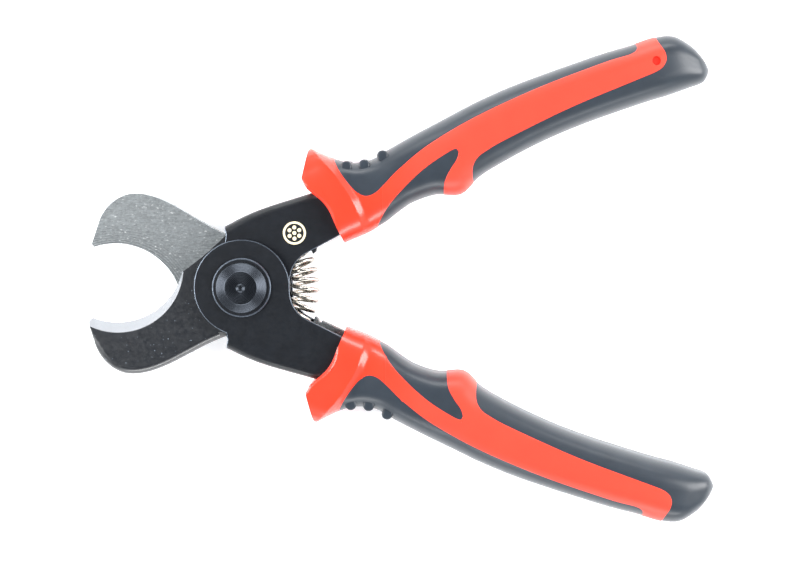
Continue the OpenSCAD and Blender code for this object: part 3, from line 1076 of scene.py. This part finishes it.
def make_grip(grip):
    """One sleeve and its three pads, as a dict of pieces."""
    made = finishes()
    form = grip_form("form")
    lowered = grip_form("lowered", inset=grip.step / MM)
    core = grip_form("core", inset=grip.pad_depth / MM, short=2 * RING_STEPS)
    pieces = {}
    for name, outline in ZONES.items():
        zone = block("zone", outline, -REACH, REACH)
        cut(zone, core, keep=True)
        pad = twin(lowered, name)
        cut(pad, zone, "INTERSECT", keep=True)
        cut(form, zone)
        pieces[name] = pad
    bpy.data.objects.remove(lowered)
    for bar in make_ribs(grip):
        cut(bar, core, keep=True)
        cut(pieces["thumb"], bar, "UNION")
    bpy.data.objects.remove(core)
    front = MOUTH + MOUTH_FRONT
    cut(form, block("mouth", front, -REACH, REACH))
    for way in (1, -1):
        lip = block("lip", front, *sorted((LIP_START * way, LIP_END * way)))
        shape(lip)
        choose(lip, "verts", lambda v: abs(v.co.z) > (LIP_END - 0.1) * MM)
        bpy.ops.transform.translate(value=Vector((*LIP_SLANT, 0)) * MM)
        done()
        cut(form, lip)
    tang = (aside(FOLD_LINE, -TANG_PLAY) + TANG_END + aside(TANG_INNER, TANG_PLAY)[::-1]
            + [(15, 8)])
    cut(form, block("room", tang, BACK_PLATE[0] - TANG_PLAY, FRONT_PLATE[1] + TANG_PLAY))
    cut(form, start("drill", bpy.ops.mesh.primitive_cylinder_add, vertices=32, radius=HOLE_R * MM,
                    depth=2 * HOLE_DEPTH * MM, location=(HOLE[0] * MM, HOLE[1] * MM, MID_Z * MM)))
    pieces["shell"] = form

    def on_lip(edge):
        """Where the chamfer round the mouth meets the sleeve's front or back."""
        middle = (edge.verts[0].co + edge.verts[1].co) / 2 / MM
        near = min(math.hypot(middle.x - x, middle.y - y) for x, y in MOUTH)
        return abs(middle.z) > LIP_START + 0.25 and 0.2 < near < 2

    for name, obj in pieces.items():
        tidy(obj, 0.04)
        paint(obj, made["red" if name == "shell" else "rubber"])
        if name == "shell":
            soften(obj, grip.lip_round, angle=20, segments=2, clamp=False, test=on_lip)
            soften(obj, grip.seam_round, angle=50, segments=1, clamp=False,
                   test=lambda e: min(v.co.x for v in e.verts) > 28 * MM)
        smooth(obj, 28)
    return pieces


class CUTTER_OT_grips(bpy.types.Operator):
    """Mould the two grips: a hard red sleeve and three soft pads on each arm"""

    bl_idname = "cutter.grips"
    bl_label = "Grips"

    def execute(self, context):
        pieces = make_grip(context.scene.cutter_grip)
        for name, obj in pieces.items():
            node = "grip_shell" if name == "shell" else f"{name}_pad"
            copy = twin(obj, f"lower_{name}_moulded")
            obj.name = obj.data.name = f"upper_{name}_moulded"
            seat_in(obj, UPPER, f"upper_{node}")
            seat_in(copy, LOWER, f"lower_{node}")
        return {"FINISHED"}


class CUTTER_OT_mark(bpy.types.Operator):
    """Print a plain cable sign on the upper channel: a ring with strands in it"""

    bl_idname = "cutter.mark"
    bl_label = "Mark"

    def execute(self, context):
        centre, outer, inner, strand_r, strand_ring = (13.4, 13.4), 2.9, 2.35, 0.5, 1.4
        low, high = FRONT_PLATE[1] + 0.01, FRONT_PLATE[1] + 0.04
        ring = block("ring", arc((0, 0), outer, 0, 357, 60), low, high)
        cut(ring, block("inner", arc((0, 0), inner, 0, 357, 60), low - 1, high + 1))
        parts = [ring]
        for place in [(0, 0)] + arc((0, 0), strand_ring, 30, 330, 5):
            parts.append(block("strand", arc(place, strand_r, 0, 345, 23), low, high))
        only(parts[0])
        for part in parts:
            part.select_set(True)
        bpy.ops.object.join()
        obj = bpy.context.object
        obj.name = obj.data.name = "cable_sign_print"
        obj.location = (centre[0] * MM, centre[1] * MM, 0)
        bpy.ops.object.transform_apply(location=True)
        paint(obj, finishes()["print"])
        seat_in(obj, UPPER)
        return {"FINISHED"}


# ---------- Stage ----------

# The point the camera looks at, in millimetres, and its focal length for each unit of distance,
# so that the tool fills the picture in the same way at any distance
LOOK_AT = (39.5, 0.19)
LENS_SHARE = 0.1782

# Softboxes: name, place and size in metres, and the setting that holds the power
SOFTBOXES = [
    ("softbox_left", (-0.75, 0.1, 0.55), (0.6, 0.8), "side_watts"),
    ("softbox_right", (0.85, 0.1, 0.55), (0.6, 0.8), "side_watts"),
    ("softbox_far", (0.05, 0.9, 0.45), (0.9, 0.25), "strip_watts"),
    ("softbox_near", (0.05, -0.9, 0.45), (0.9, 0.25), "strip_watts"),
]


class CUTTER_OT_stage(bpy.types.Operator):
    """Lay the floor, and set the lights and the camera"""

    bl_idname = "cutter.stage"
    bl_label = "Stage"

    def execute(self, context):
        stage = context.scene.cutter_stage
        floor = start("floor", bpy.ops.mesh.primitive_plane_add, size=6,
                      location=(0.04, 0, -0.0002))
        paint(floor, new_material(
            "lit_white_table", Base_Color=linear("F8F8F8"), Roughness=0.9, Specular_IOR_Level=0.1,
            Emission_Color=linear("F4FAFF"), Emission_Strength=0.4,
        )[0])

        middle = Vector((*LOOK_AT, MID_Z)) * MM
        tilt, lean, roll = stage.tilt, stage.side_lean, stage.roll
        back = Vector((math.sin(lean), math.sin(tilt) * math.cos(lean),
                       math.cos(tilt) * math.cos(lean)))
        right = Vector((0, 1, 0)).cross(back).normalized()
        up = back.cross(right)
        rolled_up = math.cos(roll) * up + math.sin(roll) * right
        rolled_right = math.cos(roll) * right - math.sin(roll) * up
        camera = bpy.data.objects.new("camera", bpy.data.cameras.new("camera"))
        context.scene.collection.objects.link(camera)
        rotation = Matrix((rolled_right, rolled_up, back)).transposed().to_4x4()
        camera.matrix_world = Matrix.Translation(middle + back * stage.distance) @ rotation
        camera.data.sensor_width = 36
        camera.data.lens = LENS_SHARE * stage.distance / MM
        camera.data.clip_start = 0.01
        context.scene.camera = camera

        for name, place, size, power_name in SOFTBOXES:
            light = bpy.data.lights.new(name, "AREA")
            light.shape = "RECTANGLE"
            light.size, light.size_y = size
            light.energy = getattr(stage, power_name)
            obj = bpy.data.objects.new(name, light)
            obj.location = place
            obj.rotation_euler = (middle - Vector(place)).to_track_quat("-Z", "Y").to_euler()
            context.scene.collection.objects.link(obj)

        world = bpy.data.worlds.new("studio")
        context.scene.world = world
        world.use_nodes = True
        tree = world.node_tree
        background = tree.nodes["Background"]

        # Bright all round and grey overhead, so that flat metal faces look dark from above
        place = add_node(tree, "ShaderNodeTexCoord")
        axes = add_node(tree, "ShaderNodeSeparateXYZ", None, Vector=(place, "Generated"))
        bright, grey, dark = linear("F7FBFF"), linear("6A7178"), linear("4A5158")
        sky = ramp(tree, (axes, "Z"), (0.0, bright), (0.35, bright), (0.7, grey), (0.95, dark))
        link(tree, sky, background.inputs["Color"])
        background.inputs["Strength"].default_value = 1.0
        context.scene.view_settings.view_transform = "Standard"
        return {"FINISHED"}


class CUTTER_PT_panel(bpy.types.Panel):
    """Lists the settings and the pieces"""

    bl_idname = "CUTTER_PT_panel"
    bl_label = "Cable cutter"
    bl_space_type = "VIEW_3D"
    bl_region_type = "UI"
    bl_category = "Cutter"

    def draw(self, context):
        layout = self.layout
        for name, group in SETTINGS.items():
            box = layout.box()
            settings = getattr(context.scene, name)
            for key in group.__annotations__:
                box.prop(settings, key)
        for operator in OPERATORS:
            layout.operator(operator.bl_idname)


SETTINGS = {
    "cutter_head": HeadSettings,
    "cutter_spring": SpringSettings,
    "cutter_grip": GripSettings,
    "cutter_finish": FinishSettings,
    "cutter_stage": StageSettings,
}
OPERATORS = (
    CUTTER_OT_channels, CUTTER_OT_blades, CUTTER_OT_pivot, CUTTER_OT_spring, CUTTER_OT_grips,
    CUTTER_OT_mark, CUTTER_OT_stage,
)


def register():
    for cls in (*SETTINGS.values(), *OPERATORS, CUTTER_PT_panel):
        bpy.utils.register_class(cls)
    for name, group in SETTINGS.items():
        setattr(bpy.types.Scene, name, bpy.props.PointerProperty(type=group))


def unregister():
    for name in SETTINGS:
        delattr(bpy.types.Scene, name)
    for cls in (CUTTER_PT_panel, *reversed(OPERATORS), *reversed(SETTINGS.values())):
        bpy.utils.unregister_class(cls)


def main():
    register()
    bpy.ops.cutter.channels()
    bpy.ops.cutter.blades()
    bpy.ops.cutter.pivot()
    bpy.ops.cutter.spring()
    bpy.ops.cutter.grips()
    bpy.ops.cutter.mark()
    bpy.ops.cutter.stage()


if __name__ == "__main__":
    main()
